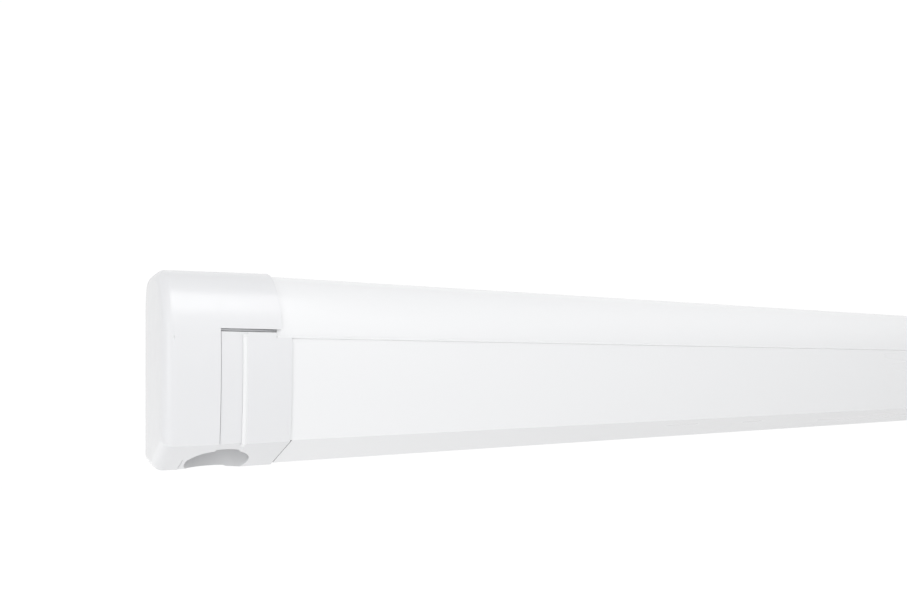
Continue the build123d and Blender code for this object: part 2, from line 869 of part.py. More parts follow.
def arm_casting(plane, side, pivot_at, tube_at):
    """A casting from a pivot to the arm tube, with a spigot into the tube and a bored eye."""
    reach = 1 if tube_at > pivot_at else -1
    spigot_width = arm_width - 2 * arm_wall - 2 * spigot_fit
    spigot_height = arm_height - 2 * arm_wall - 2 * spigot_fit
    root = (tube_at - reach * arm_corner, side * arm_offset)
    with BuildPart() as casting:
        with BuildSketch(plane.offset(-arm_height / 2)):
            with Locations((pivot_at, 0)):
                Circle(knuckle_radius)
            with Locations(root):
                Rectangle(2 * arm_corner, arm_width)
            make_hull()
            with Locations(((pivot_at + tube_at) / 2, side * (arm_clear - arm_length / 2))):
                Rectangle(2 * arm_length, arm_length, mode=Mode.SUBTRACT)
            with Locations((pivot_at, 0)):
                Circle(knuckle_radius)
        extrude(amount=arm_height)
        with BuildSketch(Plane(plane.from_local_coords((tube_at, 0, 0)), x_dir=plane.y_dir, z_dir=plane.x_dir)):
            with Locations((side * arm_offset, 0)):
                RectangleRounded(spigot_width, spigot_height, arm_corner - arm_wall)
        extrude(amount=reach * spigot_length)
        with BuildSketch(plane.offset(-arm_height)):
            with Locations((pivot_at, 0)):
                Circle(pin_radius + running_gap)
        extrude(amount=2 * arm_height, mode=Mode.SUBTRACT)
    return casting.part


with BuildPart() as inner_knuckle:
    add(arm_casting(inner_plane, 1, 0, tube_start))
keep_pair("shoulder_knuckle", inner_knuckle.part)

keep_pair("inner_arm_tube", arm_tube(inner_plane, 1))

with BuildPart() as elbow_fork:
    add(arm_casting(inner_plane, 1, arm_length, tube_stop))
    with BuildSketch(inner_plane.offset(-elbow_half)):
        with Locations((arm_length, 0)):
            Circle(fork_slot_radius)
    extrude(amount=2 * elbow_half, mode=Mode.SUBTRACT)
keep_pair("elbow_fork", elbow_fork.part)

with BuildPart() as elbow_knuckle:
    add(arm_casting(outer_plane, -1, arm_length, tube_stop))
    for z in (-arm_height, elbow_half - lug_gap):
        with BuildSketch(outer_plane.offset(z)):
            with Locations((arm_length, 0)):
                Circle(fork_slot_radius)
        extrude(amount=arm_height - elbow_half + lug_gap, mode=Mode.SUBTRACT)
keep_pair("elbow_knuckle", elbow_knuckle.part)

keep_pair("outer_arm_tube", arm_tube(outer_plane, -1))

with BuildPart() as outer_end_knuckle:
    add(arm_casting(outer_plane, -1, 0, tube_start))
keep_pair("rail_knuckle", outer_end_knuckle.part)


def hinge_pin(plane, at, half_height):
    """A headed pin, square to the arms' plane."""
    with BuildPart() as pin:
        with BuildSketch(plane.offset(-half_height)):
            with Locations((at, 0)):
                Circle(pin_radius)
        extrude(amount=2 * half_height)
        with BuildSketch(plane.offset(half_height)):
            with Locations((at, 0)):
                Circle(pin_radius + pin_head)
        extrude(amount=pin_head)
    return pin.part


keep_pair("elbow_pin", hinge_pin(inner_plane, arm_length, arm_height / 2))

with BuildPart() as shoulder_pins:
    add(hinge_pin(shoulder_plane, 0, lug_inside + lug_thickness))
    mirror(about=Plane.YZ)
keep("shoulder_pins", shoulder_pins.part)

with BuildPart() as rail_pins:
    add(hinge_pin(rail_plane, 0, lug_inside + lug_thickness))
    mirror(about=Plane.YZ)
keep("rail_pins", rail_pins.part)

# Shoulder bracket: a plate on the housing's wall with two lugs round the shoulder knuckle
wall_face = -housing_wall
plate_face = wall_face - bracket_plate
bolt_x = lug_half_width + bolt_head_radius + pin_head
bracket_low = shoulder_z - arm_height - bolt_head_radius
bracket_high = shoulder_z + arm_height + bolt_head_radius
bolt_rows_z = (bracket_low + bolt_head_radius + pin_head, bracket_high - bolt_head_radius - pin_head)
lug_stack = lug_inside + lug_thickness
with BuildPart() as shoulder_bracket:
    with BuildSketch(shoulder_plane.offset(-lug_stack)):
        Circle(knuckle_radius)
        with Locations((0, shoulder_back)):
            Rectangle(2 * lug_half_width, 2 * bracket_plate)
        make_hull()
    extrude(amount=2 * lug_stack)
    with BuildSketch(shoulder_plane.offset(-lug_inside)):
        Rectangle(height, height)
    extrude(amount=2 * lug_inside, mode=Mode.SUBTRACT)
    box_between(
        (pivot_x - height, pivot_x + height),
        (wall_face, 2 * depth),
        (2 * floor_z, 2 * roof_z),
        Mode.SUBTRACT,
    )
    box_between(
        (pivot_x - bracket_half_width, pivot_x + bracket_half_width),
        (plate_face, wall_face),
        (bracket_low, bracket_high),
    )
    with BuildSketch(shoulder_plane.offset(-height)):
        Circle(pin_radius)
    extrude(amount=2 * height, mode=Mode.SUBTRACT)
    with BuildSketch(Plane.XZ):
        for z in bolt_rows_z:
            with Locations((pivot_x - bolt_x, z), (pivot_x + bolt_x, z)):
                Circle(bolt_radius + running_gap)
    extrude(amount=2 * bracket_plate, mode=Mode.SUBTRACT)
keep_pair("shoulder_bracket", shoulder_bracket.part)

with BuildPart() as bracket_bolts:
    with BuildSketch(Plane.XZ.offset(-plate_face)):
        for z in bolt_rows_z:
            with Locations((pivot_x - bolt_x, z), (pivot_x + bolt_x, z)):
                RegularPolygon(bolt_head_radius, 6)
    extrude(amount=bolt_head)
    with BuildSketch(Plane.XZ.offset(-wall_face)):
        for z in bolt_rows_z:
            with Locations((pivot_x - bolt_x, z), (pivot_x + bolt_x, z)):
                Circle(bolt_radius)
    extrude(amount=bracket_plate)
    mirror(about=Plane.YZ)
keep("bracket_bolts", bracket_bolts.part)

# Rail bracket: the same pair of lugs, on the inside of the lead rail's face
with BuildPart() as rail_bracket:
    with BuildSketch(rail_plane.offset(-lug_stack)):
        Circle(knuckle_radius)
        with Locations((0, -knuckle_radius - rail_web_gap - arm_width / 2 - rail_web_depth)):
            Rectangle(2 * lug_half_width, rail_web_depth)
        make_hull()
    extrude(amount=2 * lug_stack)
    with BuildSketch(rail_plane.offset(-lug_inside)):
        with Locations((0, height - knuckle_radius - rail_web_gap - arm_width / 2)):
            Rectangle(height, 2 * height)
    extrude(amount=2 * lug_inside, mode=Mode.SUBTRACT)
    rail_plate_y = -rail_pivot_back - knuckle_radius - rail_web_gap - arm_width / 2 - rail_web_depth
    box_between(
        (pivot_x - bracket_half_width, pivot_x + bracket_half_width),
        (-depth, rail_plate_y + bracket_plate),
        (roof_plate_z + seat_gap, arm_z(-rail_pivot_back) + lug_stack),
    )
    box_between(
        (pivot_x - height, pivot_x + height),
        (-2 * depth, 0),
        (2 * floor_z, roof_plate_z + seat_gap),
        Mode.SUBTRACT,
    )
    add(section_slab((pivot_x - height, pivot_x + height), -rail_wall - seat_gap, -rail_wall - seat_gap), mode=Mode.INTERSECT)
    with BuildSketch(rail_plane.offset(-height)):
        Circle(pin_radius)
    extrude(amount=2 * height, mode=Mode.SUBTRACT)
keep_pair("rail_bracket", rail_bracket.part)

with BuildPart() as rail_bolts:
    rail_bolt_z = arm_z(-rail_pivot_back)
    rail_bolt_spots = (
        (pivot_x - bolt_x, rail_bolt_z),
        (pivot_x + bolt_x, rail_bolt_z),
    )
    with BuildSketch(Plane.XZ.offset(-rail_plate_y - bracket_plate)):
        with Locations(*rail_bolt_spots):
            RegularPolygon(bolt_head_radius, 6)
    extrude(amount=-bolt_head)
    mirror(about=Plane.YZ)
keep("rail_bolts", rail_bolts.part)

# Support legs: hinged at the outer ends of the channel under the lead rail, folded towards the middle
hinge_x = outer_end + leg_from_end
leg_y = -channel_front + channel_width / 2
leg_z = roof_plate_z - rail_wall - leg_drop
leg_tube_x = hinge_x - leg_height / 2
leg_tube_end = -leg_middle_gap
leg_bore = (leg_width - 2 * leg_wall, leg_height - 2 * leg_wall)
inner_size = (leg_bore[0] - 2 * leg_slide_gap, leg_bore[1] - 2 * leg_slide_gap)
leg_pin_half = channel_width / 2


def leg_span(size_y, size_z, x, mode=Mode.ADD):
    """A bar along the leg's centre line."""
    box_between(
        x,
        (leg_y - size_y / 2, leg_y + size_y / 2),
        (leg_z - size_z / 2, leg_z + size_z / 2),
        mode,
    )


def cross_pin(x, z, radius, half_width, mode=Mode.ADD):
    """A round bar across the leg, along Y."""
    with Locations(Location((x, leg_y, z), (90, 0, 0))):
        Cylinder(radius, 2 * half_width, mode=mode)


with BuildPart() as leg_tube:
    leg_span(leg_width, leg_height, (leg_tube_x, leg_tube_end))
    head_edges = leg_tube.faces().sort_by(Axis.X)[0].edges().filter_by(Axis.Y)
    fillet(head_edges, leg_height / 2 - running_gap)
    leg_span(*leg_bore, (hinge_x + leg_head, leg_tube_end + overrun), Mode.SUBTRACT)
    cross_pin(hinge_x, leg_z, leg_pin_radius + running_gap, leg_width, Mode.SUBTRACT)
keep_pair("leg_tube", leg_tube.part)

inner_start = hinge_x + leg_inner_start
collar_end = leg_tube_end + collar_length
foot_x = collar_end + leg_inner_past_collar
inner_end_x = foot_x + foot_pivot_back
with BuildPart() as leg_extension:
    leg_span(*inner_size, (inner_start, inner_end_x))
    leg_span(
        inner_size[0] - 2 * leg_wall,
        inner_size[1] - 2 * leg_wall,
        (inner_start - overrun, foot_x - foot_pivot_back),
        Mode.SUBTRACT,
    )
    end_edges = leg_extension.faces().sort_by(Axis.X)[-1].edges().filter_by(Axis.Y)
    fillet(end_edges, inner_size[1] / 2 - running_gap)
    cross_pin(foot_x, leg_z, foot_pin_radius + running_gap, leg_width, Mode.SUBTRACT)
keep_pair("leg_extension", leg_extension.part)

lever_z = leg_z - leg_height / 2 - lever_thickness / 2 - running_gap
lever_x = leg_tube_end + lever_pivot_in
with BuildPart() as leg_collar:
    leg_span(leg_width, leg_height, (leg_tube_end, collar_end))
    leg_span(
        inner_size[0] + 2 * collar_fit,
        inner_size[1] + 2 * collar_fit,
        (leg_tube_end - overrun, collar_end + overrun),
        Mode.SUBTRACT,
    )
    for side in (-1, 1):
        ear_y = leg_y + side * (lever_width / 2 + seat_gap + lever_ear / 2)
        box_between(
            (lever_x - lever_thickness, lever_x + lever_thickness),
            (ear_y - lever_ear / 2, ear_y + lever_ear / 2),
            (lever_z - lever_thickness / 2, leg_z - leg_height / 2),
        )
    cross_pin(lever_x, lever_z, lever_pin_radius, lever_width / 2 + seat_gap + lever_ear)
keep_pair("leg_collar", leg_collar.part)

with BuildPart() as leg_lock:
    lever_low = lever_z - lever_thickness / 2
    box_between(
        (lever_x - lever_length, lever_x),
        (leg_y - lever_width / 2, leg_y + lever_width / 2),
        (lever_low, lever_z + lever_thickness / 2 - seat_gap),
    )
    cross_pin(lever_x, lever_z, lever_thickness / 2, lever_width / 2)
    tip = leg_lock.faces().sort_by(Axis.X)[0].edges().filter_by(Axis.Z)
    fillet(tip, lever_thickness)
    cross_pin(lever_x, lever_z, lever_pin_radius + running_gap, lever_width, Mode.SUBTRACT)
keep_pair("leg_lock", leg_lock.part)

with BuildPart() as leg_foot:
    pad_x = inner_end_x + foot_gap
    leg_span(leg_width, leg_height, (foot_x, pad_x + foot_length))
    leg_span(
        inner_size[0] + 2 * leg_slide_gap,
        2 * leg_height,
        (foot_x - leg_height, pad_x),
        Mode.SUBTRACT,
    )
    for side in (-1, 1):
        ear_y = leg_y + side * (leg_width - foot_ear) / 2
        ear_thick = (leg_width - inner_size[0]) / 2 - leg_slide_gap
        ear_mid = leg_y + side * (leg_width - ear_thick) / 2
        with Locations(Location((foot_x, ear_mid, leg_z), (90, 0, 0))):
            Cylinder(leg_height / 2, ear_thick)
    cross_pin(foot_x, leg_z, foot_pin_radius, leg_width / 2)
    sole = leg_foot.faces().sort_by(Axis.X)[-1].edges()
    fillet(sole, foot_ear)
keep_pair("leg_foot", leg_foot.part)

with BuildPart() as leg_bracket:
    block_x = leg_tube_x - seam_gap
    bracket_x = rail_end
    channel_y = (-channel_front + running_gap, -channel_rear - running_gap)
    box_between(
        (bracket_x, block_x),
        channel_y,
        (floor_z + leg_wall, roof_plate_z - rail_wall),
    )
    for side in (-1, 1):
        inner_face = leg_y + side * (leg_width / 2 + seat_gap)
        outer_face = leg_y + side * (channel_width / 2 - running_gap)
        box_between(
            (bracket_x, hinge_x + leg_ear_reach),
            (min(inner_face, outer_face), max(inner_face, outer_face)),
            (floor_z + leg_wall, roof_plate_z - rail_wall),
        )
    cross_pin(hinge_x, leg_z, leg_pin_radius, leg_width, Mode.SUBTRACT)
keep_pair("leg_bracket", leg_bracket.part)

with BuildPart() as leg_pins:
    cross_pin(hinge_x, leg_z, leg_pin_radius, leg_pin_half - running_gap)
    mirror(about=Plane.YZ)
keep("leg_pins", leg_pins.part)

with BuildPart() as leg_clips:
    clip_x = hinge_x + clip_from_hinge
    box_between(
        (clip_x, clip_x + clip_length),
        (-channel_front, -channel_rear),
        (leg_z - leg_height / 4, roof_plate_z - rail_wall),
    )
    leg_span(leg_width + 2 * seat_gap, leg_height + 2 * seat_gap, (clip_x - overrun, clip_x + clip_length + overrun), Mode.SUBTRACT)
    mirror(about=Plane.YZ)
keep("leg_clips", leg_clips.part)

print(
    "arm fold angle", math.degrees(fold_angle),
    "shoulder", shoulder_point,
    "elbow", elbow_point,
    "rail pivot", rail_point,
)
print("leg hinge", hinge_x, leg_y, leg_z, "foot", foot_x, "lever", lever_x, lever_z)
print("groove", -groove_back, groove_z, "leader", leader_start_y, leader_start_z, "reach", leader_reach)
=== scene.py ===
"""Roll out awning: finishes, cloth, light and camera over the CAD frame, in metres."""
import json
import math

import bpy
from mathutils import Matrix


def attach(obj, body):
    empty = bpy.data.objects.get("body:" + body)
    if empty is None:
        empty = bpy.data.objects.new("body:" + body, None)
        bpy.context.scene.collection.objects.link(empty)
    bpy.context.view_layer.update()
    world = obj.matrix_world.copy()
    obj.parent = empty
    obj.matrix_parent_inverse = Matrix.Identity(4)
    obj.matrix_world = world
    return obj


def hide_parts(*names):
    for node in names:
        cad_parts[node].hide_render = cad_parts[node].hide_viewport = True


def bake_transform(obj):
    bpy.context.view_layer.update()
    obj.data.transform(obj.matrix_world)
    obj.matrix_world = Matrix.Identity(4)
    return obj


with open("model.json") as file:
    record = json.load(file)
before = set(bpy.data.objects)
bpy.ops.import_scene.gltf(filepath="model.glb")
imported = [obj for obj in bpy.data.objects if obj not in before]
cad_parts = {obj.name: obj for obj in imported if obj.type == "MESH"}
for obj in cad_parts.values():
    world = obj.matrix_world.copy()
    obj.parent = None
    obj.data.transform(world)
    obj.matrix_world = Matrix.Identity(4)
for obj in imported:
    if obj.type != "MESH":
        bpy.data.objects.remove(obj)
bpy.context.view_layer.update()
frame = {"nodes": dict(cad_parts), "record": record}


def add_node(tree, kind, inputs=None, **props):
    """A node with its properties, and inputs that are values or other nodes' outputs."""
    made = tree.nodes.new(kind)
    for key, value in props.items():
        setattr(made, key, value)
    for key, value in (inputs or {}).items():
        if isinstance(value, bpy.types.NodeSocket):
            tree.links.new(value, made.inputs[key])
        else:
            made.inputs[key].default_value = value
    return made


def map_range(tree, value, low, high, to_low, to_high, **props):
    ranges = {"From Min": low, "From Max": high, "To Min": to_low, "To Max": to_high}
    return add_node(tree, "ShaderNodeMapRange", {"Value": value, **ranges}, **props).outputs[0]


class Finish:
    """A material with a Principled shader and short calls for its nodes."""

    noise_low, noise_high = 0.3, 0.7
    noise_roughness = 0.55

    def __init__(self, name, colour, roughness, metallic=0.0, specular=0.5):
        self.mat = bpy.data.materials.new(name)
        self.mat.use_nodes = True
        self.tree = self.mat.node_tree
        self.tree.nodes.clear()
        out = self.node("ShaderNodeOutputMaterial")
        self.shader = self.node("ShaderNodeBsdfPrincipled")
        self.tree.links.new(self.shader.outputs[0], out.inputs[0])
        self.shader.inputs["Base Color"].default_value = (*colour, 1)
        self.shader.inputs["Roughness"].default_value = roughness
        self.shader.inputs["Metallic"].default_value = metallic
        self.shader.inputs["Specular IOR Level"].default_value = specular
        self.colour = colour
        self.height = None

    def node(self, kind, inputs=None, **props):
        return add_node(self.tree, kind, inputs, **props)

    def place(self, stretch=(1, 1, 1), source="Object"):
        where = self.node("ShaderNodeTexCoord").outputs[source]
        return self.node("ShaderNodeMapping", {"Vector": where, "Scale": stretch}).outputs[0]

    def noise(self, size, detail, stretch=(1, 1, 1), source="Object"):
        inputs = {
            "Vector": self.place(stretch, source),
            "Scale": 1 / size,
            "Detail": detail,
            "Roughness": self.noise_roughness,
        }
        return self.node("ShaderNodeTexNoise", inputs).outputs["Fac"]

    def cells(self, size, output="Distance"):
        inputs = {"Vector": self.place(), "Scale": 1 / size}
        return self.node("ShaderNodeTexVoronoi", inputs, feature="F1").outputs[output]

    def remap(self, value, low, high, to_low, to_high):
        return map_range(self.tree, value, low, high, to_low, to_high)

    def spread(self, noise, to_low, to_high):
        """A noise's usual range, spread between two values."""
        return self.remap(noise, self.noise_low, self.noise_high, to_low, to_high)

    def math(self, kind, a, b):
        return self.node("ShaderNodeMath", {0: a, 1: b}, operation=kind).outputs[0]

    def shade(self, factor, darker, lighter=1.0):
        """The base colour varies between two shares of itself."""
        low = (*(c * darker for c in self.colour), 1)
        high = (*(min(1.0, c * lighter) for c in self.colour), 1)
        inputs = {0: factor, 6: low, 7: high}
        mixed = self.node("ShaderNodeMix", inputs, data_type="RGBA").outputs[2]
        self.tree.links.new(mixed, self.shader.inputs["Base Color"])

    def rough(self, value, low, high):
        self.tree.links.new(self.spread(value, low, high), self.shader.inputs["Roughness"])

    def bump(self, value, depth, strength=1.0):
        """One more layer of relief, its depth in metres."""
        inputs = {"Height": value, "Distance": depth, "Strength": strength}
        if self.height is not None:
            inputs["Normal"] = self.height
        self.height = self.node("ShaderNodeBump", inputs).outputs[0]
        self.tree.links.new(self.height, self.shader.inputs["Normal"])

    def set(self, **values):
        for key, value in values.items():
            self.shader.inputs[key.replace("_", " ")].default_value = value
        return self.mat


# Octaves of a noise, and its stretch along the awning.
fine, clouded, grained = 2, 3, 4
along = 0.1


def moulded_white():
    f = Finish("cap_plastic", colour=(0.765, 0.77, 0.785), roughness=0.34)
    f.shade(f.noise(size=0.09, detail=clouded), darker=0.985, lighter=1.01)
    f.rough(f.noise(size=0.012, detail=grained), low=0.32, high=0.42)
    f.bump(f.noise(size=0.16, detail=1), depth=0.0004, strength=0.25)
    f.bump(f.noise(size=0.0006, detail=fine), depth=0.00002, strength=0.5)
    return f.set(Coat_Weight=0.6, Coat_Roughness=0.22)


def powder_white():
    f = Finish("profile_paint", colour=(0.845, 0.85, 0.86), roughness=0.3)
    f.shade(f.noise(size=0.25, detail=fine, stretch=(0.15, 1, 1)), darker=0.988, lighter=1.008)
    f.rough(f.noise(size=0.05, detail=clouded, stretch=(along, 1, 1)), low=0.26, high=0.34)
    f.bump(f.noise(size=0.0024, detail=fine), depth=0.00003, strength=0.35)
    f.bump(f.noise(size=0.0005, detail=1), depth=0.00001, strength=0.4)
    return f.set(Coat_Weight=0.4, Coat_Roughness=0.2)


def powder_arm():
    f = Finish("arm_paint", colour=(0.78, 0.785, 0.785), roughness=0.34)
    f.shade(f.noise(size=0.2, detail=fine, stretch=(0.2, 1, 1)), darker=0.975, lighter=1.01)
    f.rough(f.noise(size=0.03, detail=clouded, stretch=(0.2, 1, 1)), low=0.3, high=0.4)
    f.bump(f.noise(size=0.002, detail=fine), depth=0.00003, strength=0.4)
    return f.set(Coat_Weight=0.1, Coat_Roughness=0.25)


def cast_grey():
    f = Finish("cast_aluminium", colour=(0.62, 0.63, 0.64), roughness=0.48, metallic=1.0)
    f.shade(f.noise(size=0.03, detail=grained), darker=0.86, lighter=1.06)
    f.rough(f.noise(size=0.004, detail=grained), low=0.4, high=0.6)
    f.bump(f.noise(size=0.0012, detail=grained), depth=0.00008, strength=0.6)
    f.bump(f.cells(size=0.0035), depth=0.00005, strength=0.25)
    return f.mat


def anodised():
    f = Finish("leg_aluminium", colour=(0.72, 0.725, 0.73), roughness=0.32, metallic=1.0)
    lines = f.noise(size=0.0012, detail=clouded, stretch=(0.01, 1, 1))
    f.shade(f.noise(size=0.3, detail=fine, stretch=(0.3, 1, 1)), darker=0.94, lighter=1.03)
    f.rough(lines, low=0.26, high=0.4)
    f.bump(lines, depth=0.00001, strength=0.5)
    return f.set(Anisotropic=0.35)


def zinc_steel():
    f = Finish("steel", colour=(0.64, 0.65, 0.66), roughness=0.3, metallic=1.0)
    f.shade(f.noise(size=0.008, detail=clouded), darker=0.88, lighter=1.05)
    f.rough(f.noise(size=0.003, detail=grained), low=0.24, high=0.42)
    f.bump(f.noise(size=0.0008, detail=clouded), depth=0.00002, strength=0.5)
    return f.mat


def galvanised():
    f = Finish("roller_steel", colour=(0.6, 0.615, 0.625), roughness=0.36, metallic=1.0)
    spangle = f.cells(size=0.009, output="Color")
    f.shade(spangle, darker=0.8, lighter=1.08)
    f.rough(spangle, low=0.28, high=0.5)
    f.bump(f.noise(size=0.003, detail=clouded), depth=0.00002, strength=0.4)
    return f.mat


def seal_rubber():
    f = Finish("rubber", colour=(0.022, 0.022, 0.023), roughness=0.74, specular=0.35)
    f.shade(f.noise(size=0.02, detail=clouded), darker=0.75, lighter=1.35)
    f.rough(f.noise(size=0.006, detail=clouded), low=0.66, high=0.85)
    lines = f.noise(size=0.0012, detail=clouded, stretch=(along, 1, 1))
    f.bump(lines, depth=0.00005, strength=0.6)
    return f.mat


def glassy_nylon(name, colour, low, high):
    f = Finish(name, colour, roughness=(low + high) / 2)
    f.shade(f.noise(size=0.03, detail=clouded), darker=0.93, lighter=1.05)
    f.rough(f.noise(size=0.004, detail=grained), low, high)
    f.bump(f.noise(size=0.0008, detail=fine), depth=0.00003, strength=0.5)
    return f.mat


def turned_brass():
    f = Finish("gear_brass", colour=(0.75, 0.56, 0.26), roughness=0.3, metallic=1.0)
    f.shade(f.noise(size=0.006, detail=clouded), darker=0.86, lighter=1.06)
    f.rough(f.noise(size=0.001, detail=fine, stretch=(6, 1, 1)), low=0.22, high=0.4)
    turned = f.noise(size=0.0006, detail=fine, stretch=(6, 1, 1))
    f.bump(turned, depth=0.00002, strength=0.5)
    return f.mat


thread_pitch = 0.0007
# The wave texture's scale at which its bands lie one metre apart.
one_metre_wave = math.tau / 20


def coated_cloth(name, source):
    """A plain weave under a thin coat: raised threads both ways, a little slub and cloudy tone."""
    f = Finish(name, colour=(0.44, 0.45, 0.46), roughness=0.6, specular=0.4)
    threads = []
    for direction in ("X", "Y"):
        inputs = {
            "Vector": f.place(source=source),
            "Scale": one_metre_wave / thread_pitch,
            "Distortion": 0.6,
            "Detail": 1.0,
            "Detail Scale": 0.3,
        }
        wave = f.node("ShaderNodeTexWave", inputs, bands_direction=direction)
        threads.append(wave.outputs["Fac"])
    weave = f.math("MAXIMUM", *threads)
    slub = f.noise(size=0.004, detail=fine, stretch=(0.15, 1.6, 1), source=source)
    cloud = f.noise(size=0.18, detail=clouded, source=source)
    raised = f.remap(weave, 0, 1, to_low=0.82, to_high=1)
    tone = f.math("MULTIPLY", raised, f.spread(slub, to_low=0.9, to_high=1))
    tone = f.math("MULTIPLY", tone, f.spread(cloud, to_low=0.95, to_high=1))
    f.shade(tone, darker=0.55, lighter=1.12)
    f.rough(slub, low=0.52, high=0.68)
    f.bump(weave, depth=0.00009, strength=0.7)
    f.bump(cloud, depth=0.0006, strength=0.2)
    return f.set(Sheen_Weight=0.25, Sheen_Roughness=0.4)


finishes = {
    "cap_plastic": moulded_white(),
    "profile_paint": powder_white(),
    "arm_paint": powder_arm(),
    "cast_aluminium": cast_grey(),
    "leg_aluminium": anodised(),
    "steel": zinc_steel(),
    "roller_steel": galvanised(),
    "rubber": seal_rubber(),
    "grey_plastic": glassy_nylon("grey_plastic", (0.2, 0.205, 0.21), low=0.42, high=0.56),
    "bearing_plastic": glassy_nylon("bearing_plastic", (0.72, 0.71, 0.67), low=0.3, high=0.42),
    "gear_brass": turned_brass(),
    "fabric": coated_cloth("fabric", "Object"),
}
cloth_finish = coated_cloth("awning_cloth", "UV")

for row in frame["record"]["subparts"]:
    body = frame["nodes"][row["node"]]
    for place in body.material_slots:
        place.material = finishes[row["material_slot"]]


def new_piece(name, points, faces, finish):
    mesh = bpy.data.meshes.new(name)
    mesh.from_pydata(points, [], faces)
    mesh.validate()
    mesh.materials.append(finish)
    piece = bpy.data.objects.new(name, mesh)
    bpy.context.collection.objects.link(piece)
    return piece


# The roller's middle, the point where the cloth leaves it and the middle of the bead in the rail.
roller_y, roller_z = -0.042, 0.032
start_y, start_z = -0.0358702, -0.0027637
groove_y, groove_z = -0.094, -0.0130136
bead_radius = 0.003
tube_radius, roll_radius = 0.0302, 0.0350
roll_turns, turn_steps, roll_columns = 9, 40, 6
cloth_half_width = 1.192
cloth_rows, cloth_columns = 64, 8
run_out = 1.92008


def cloth_sheet(name, line, lengths, columns):
    """A sheet from a line of (y, z) points, across the awning's width, with its UV in metres."""
    xs = [cloth_half_width * (2 * c / columns - 1) for c in range(columns + 1)]
    points = [(x, y, z) for y, z in line for x in xs]
    wide = columns + 1
    faces = [
        (r * wide + c, r * wide + c + 1, (r + 1) * wide + c + 1, (r + 1) * wide + c)
        for r in range(len(line) - 1)
        for c in range(columns)
    ]
    piece = new_piece(name, points, faces, cloth_finish)
    mesh = piece.data
    layer = mesh.uv_layers.new(name="cloth")
    for loop in mesh.loops:
        row, column = divmod(loop.vertex_index, wide)
        layer.data[loop.index].uv = (xs[column], lengths[row])
    for face in mesh.polygons:
        face.use_smooth = True
    return piece


def measured(line):
    """The length from a line's start to each of its points."""
    total = [0.0]
    for before, after in zip(line, line[1:]):
        total.append(total[-1] + math.dist(before, after))
    return total


def between(low, high, share):
    return low + (high - low) * share


leave_angle = math.atan2(start_z - roller_z, start_y - roller_y)
roll_steps = roll_turns * turn_steps
spiral = []
for step in range(roll_steps + 1):
    share = step / roll_steps
    radius = between(tube_radius, roll_radius, share)
    angle = leave_angle + (1 - share) * math.tau * roll_turns
    spiral.append((roller_y + radius * math.cos(angle), roller_z + radius * math.sin(angle)))
wound = measured(spiral)
roll = cloth_sheet("awning_cloth_roll", spiral, wound, roll_columns)
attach(roll, "roller")
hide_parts("canopy_roll")

span = math.hypot(groove_y - start_y, groove_z - start_z)
held = 1 - bead_radius / span
line = []
stretched = []
for step in range(cloth_rows + 1):
    share = step / cloth_rows
    line.append((between(start_y, groove_y, held * share), between(start_z, groove_z, held * share)))
    blended = share * share * (3 - 2 * share)
    stretched.append(share * span + blended * run_out)
cloth = cloth_sheet("awning_cloth", line, stretched, cloth_columns)
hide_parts("canopy_leader")
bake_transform(cloth)


def closed_strip(name, rings, finish, body, turned=False):
    """A strip through rings of points, its ends capped, its faces turned where the rings run back."""
    count = len(rings[0])
    points = [point for ring in rings for point in ring]
    last = len(points) - count
    faces = []
    for at in range(0, last, count):
        for i in range(count):
            j = (i + 1) % count
            faces.append((at + j, at + count + j, at + count + i, at + i))
    faces += [tuple(reversed(range(count))), tuple(range(last, last + count))]
    if turned:
        faces = [tuple(reversed(face)) for face in faces]
    piece = new_piece(name, points, faces, finishes[finish])
    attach(piece, body)


bead_steps = 8
bead_behind = 0.0001


def rounded_front(y, low, high, proud):
    """A half-round bead's (y, z) outline, from low to high on a face at y, standing out by proud."""
    middle, half = (low + high) / 2, (high - low) / 2
    arc = []
    for k in range(bead_steps + 1):
        turn = math.pi * (k / bead_steps - 1 / 2)
        arc.append((y - proud * math.cos(turn), middle + half * math.sin(turn)))
    return [(y + bead_behind, high), (y + bead_behind, low)] + arc


def along_x(outline, x_from, x_to, lengths=1):
    xs = [between(x_from, x_to, k / lengths) for k in range(lengths + 1)]
    return [[(x, y, z) for y, z in outline] for x in xs]


# The bead along the dome's lip, and a thin one over each end cap's notch.
dome_face = -0.108
lip_half, lip_low, lip_high, lip_proud = 1.2178, 0.02475, 0.02645, 0.0009
lip_lengths = 4
notch_face = -0.1055
notch_outer, notch_inner = 1.2592, 1.2155
notch_low, notch_high, notch_proud = 0.0295, 0.0313, 0.0006

lip = rounded_front(dome_face, lip_low, lip_high, lip_proud)
closed_strip("drip_lip", along_x(lip, -lip_half, lip_half, lip_lengths),
             "profile_paint", "cassette")
notch = rounded_front(notch_face, notch_low, notch_high, notch_proud)
for side, x_from, x_to in (
    ("left", -notch_outer, -notch_inner),
    ("right", notch_inner, notch_outer),
):
    closed_strip(f"{side}_notch_lip", along_x(notch, x_from, x_to),
                 "cap_plastic", "cassette")

# The lead rail's section as (y, z): the face bulges from its top to the crease, then the bevel.
face_top, crease, bevel_end = (-0.108, 0.0258), (-0.104, -0.053), (-0.058, -0.075)
face_bulge = 0.0016
crease_half_tan, bevel_half_tan = 0.6302, 0.2268
cap_top = 0.0290
parabola_scale = 4


